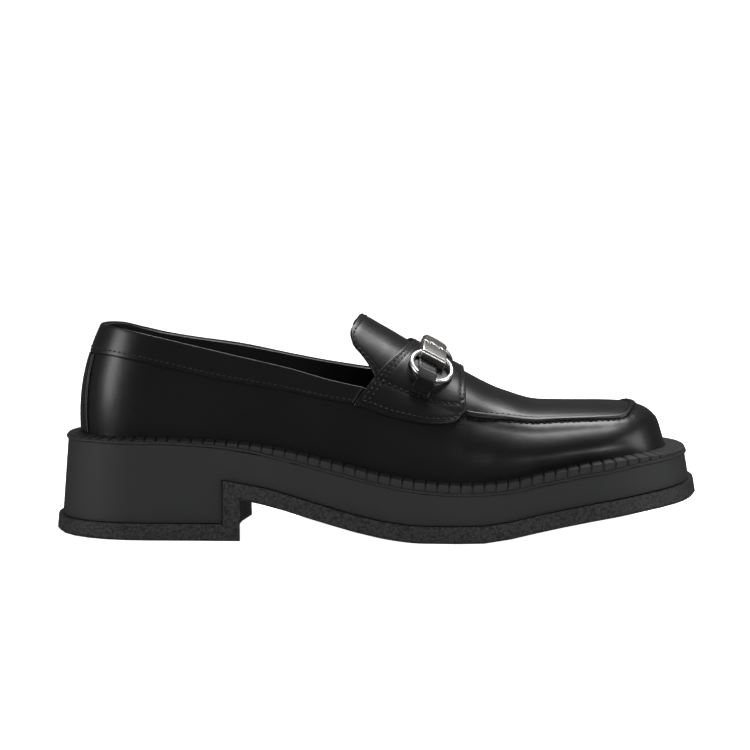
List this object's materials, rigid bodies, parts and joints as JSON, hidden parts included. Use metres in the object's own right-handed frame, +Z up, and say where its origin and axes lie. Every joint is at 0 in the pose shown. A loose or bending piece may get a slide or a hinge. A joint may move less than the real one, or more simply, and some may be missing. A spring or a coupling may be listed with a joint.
{
  "type": "bit loafer",
  "caption": "Right bit loafer in black polished leather with a moc toe, stitched saddle, silver bit, notched welt and chunky rubber sole.",
  "frame": {"origin": "On the floor, under the middle of the whole shoe's box.", "axes": "+X points towards the toe along the length of the shoe, +Y towards the inner (medial) side of the foot, and +Z up from the floor."},
  "size_m": [0.3054, 0.1091, 0.1029],
  "materials": {
    "leather": "polished smooth calf",
    "lining": "matte lining leather",
    "rubber": "matte moulded rubber",
    "metal": "soft brushed silver"
  },
  "bodies": {
    "root": {"outsole": "rubber", "midsole": "rubber", "welt": "rubber", "insole": "lining", "upper": "leather", "tongue": "leather", "saddle": "leather", "collar_band": "leather", "back_strip": "leather", "apron_seam": "leather", "ring_tab_lateral": "leather", "ring_tab_medial": "leather", "bit_ring_lateral": "metal", "bit_ring_medial": "metal", "bit_bar_lateral": "metal", "bit_bar_medial": "metal", "bit_link": "metal"}
  },
  "joints": []
}
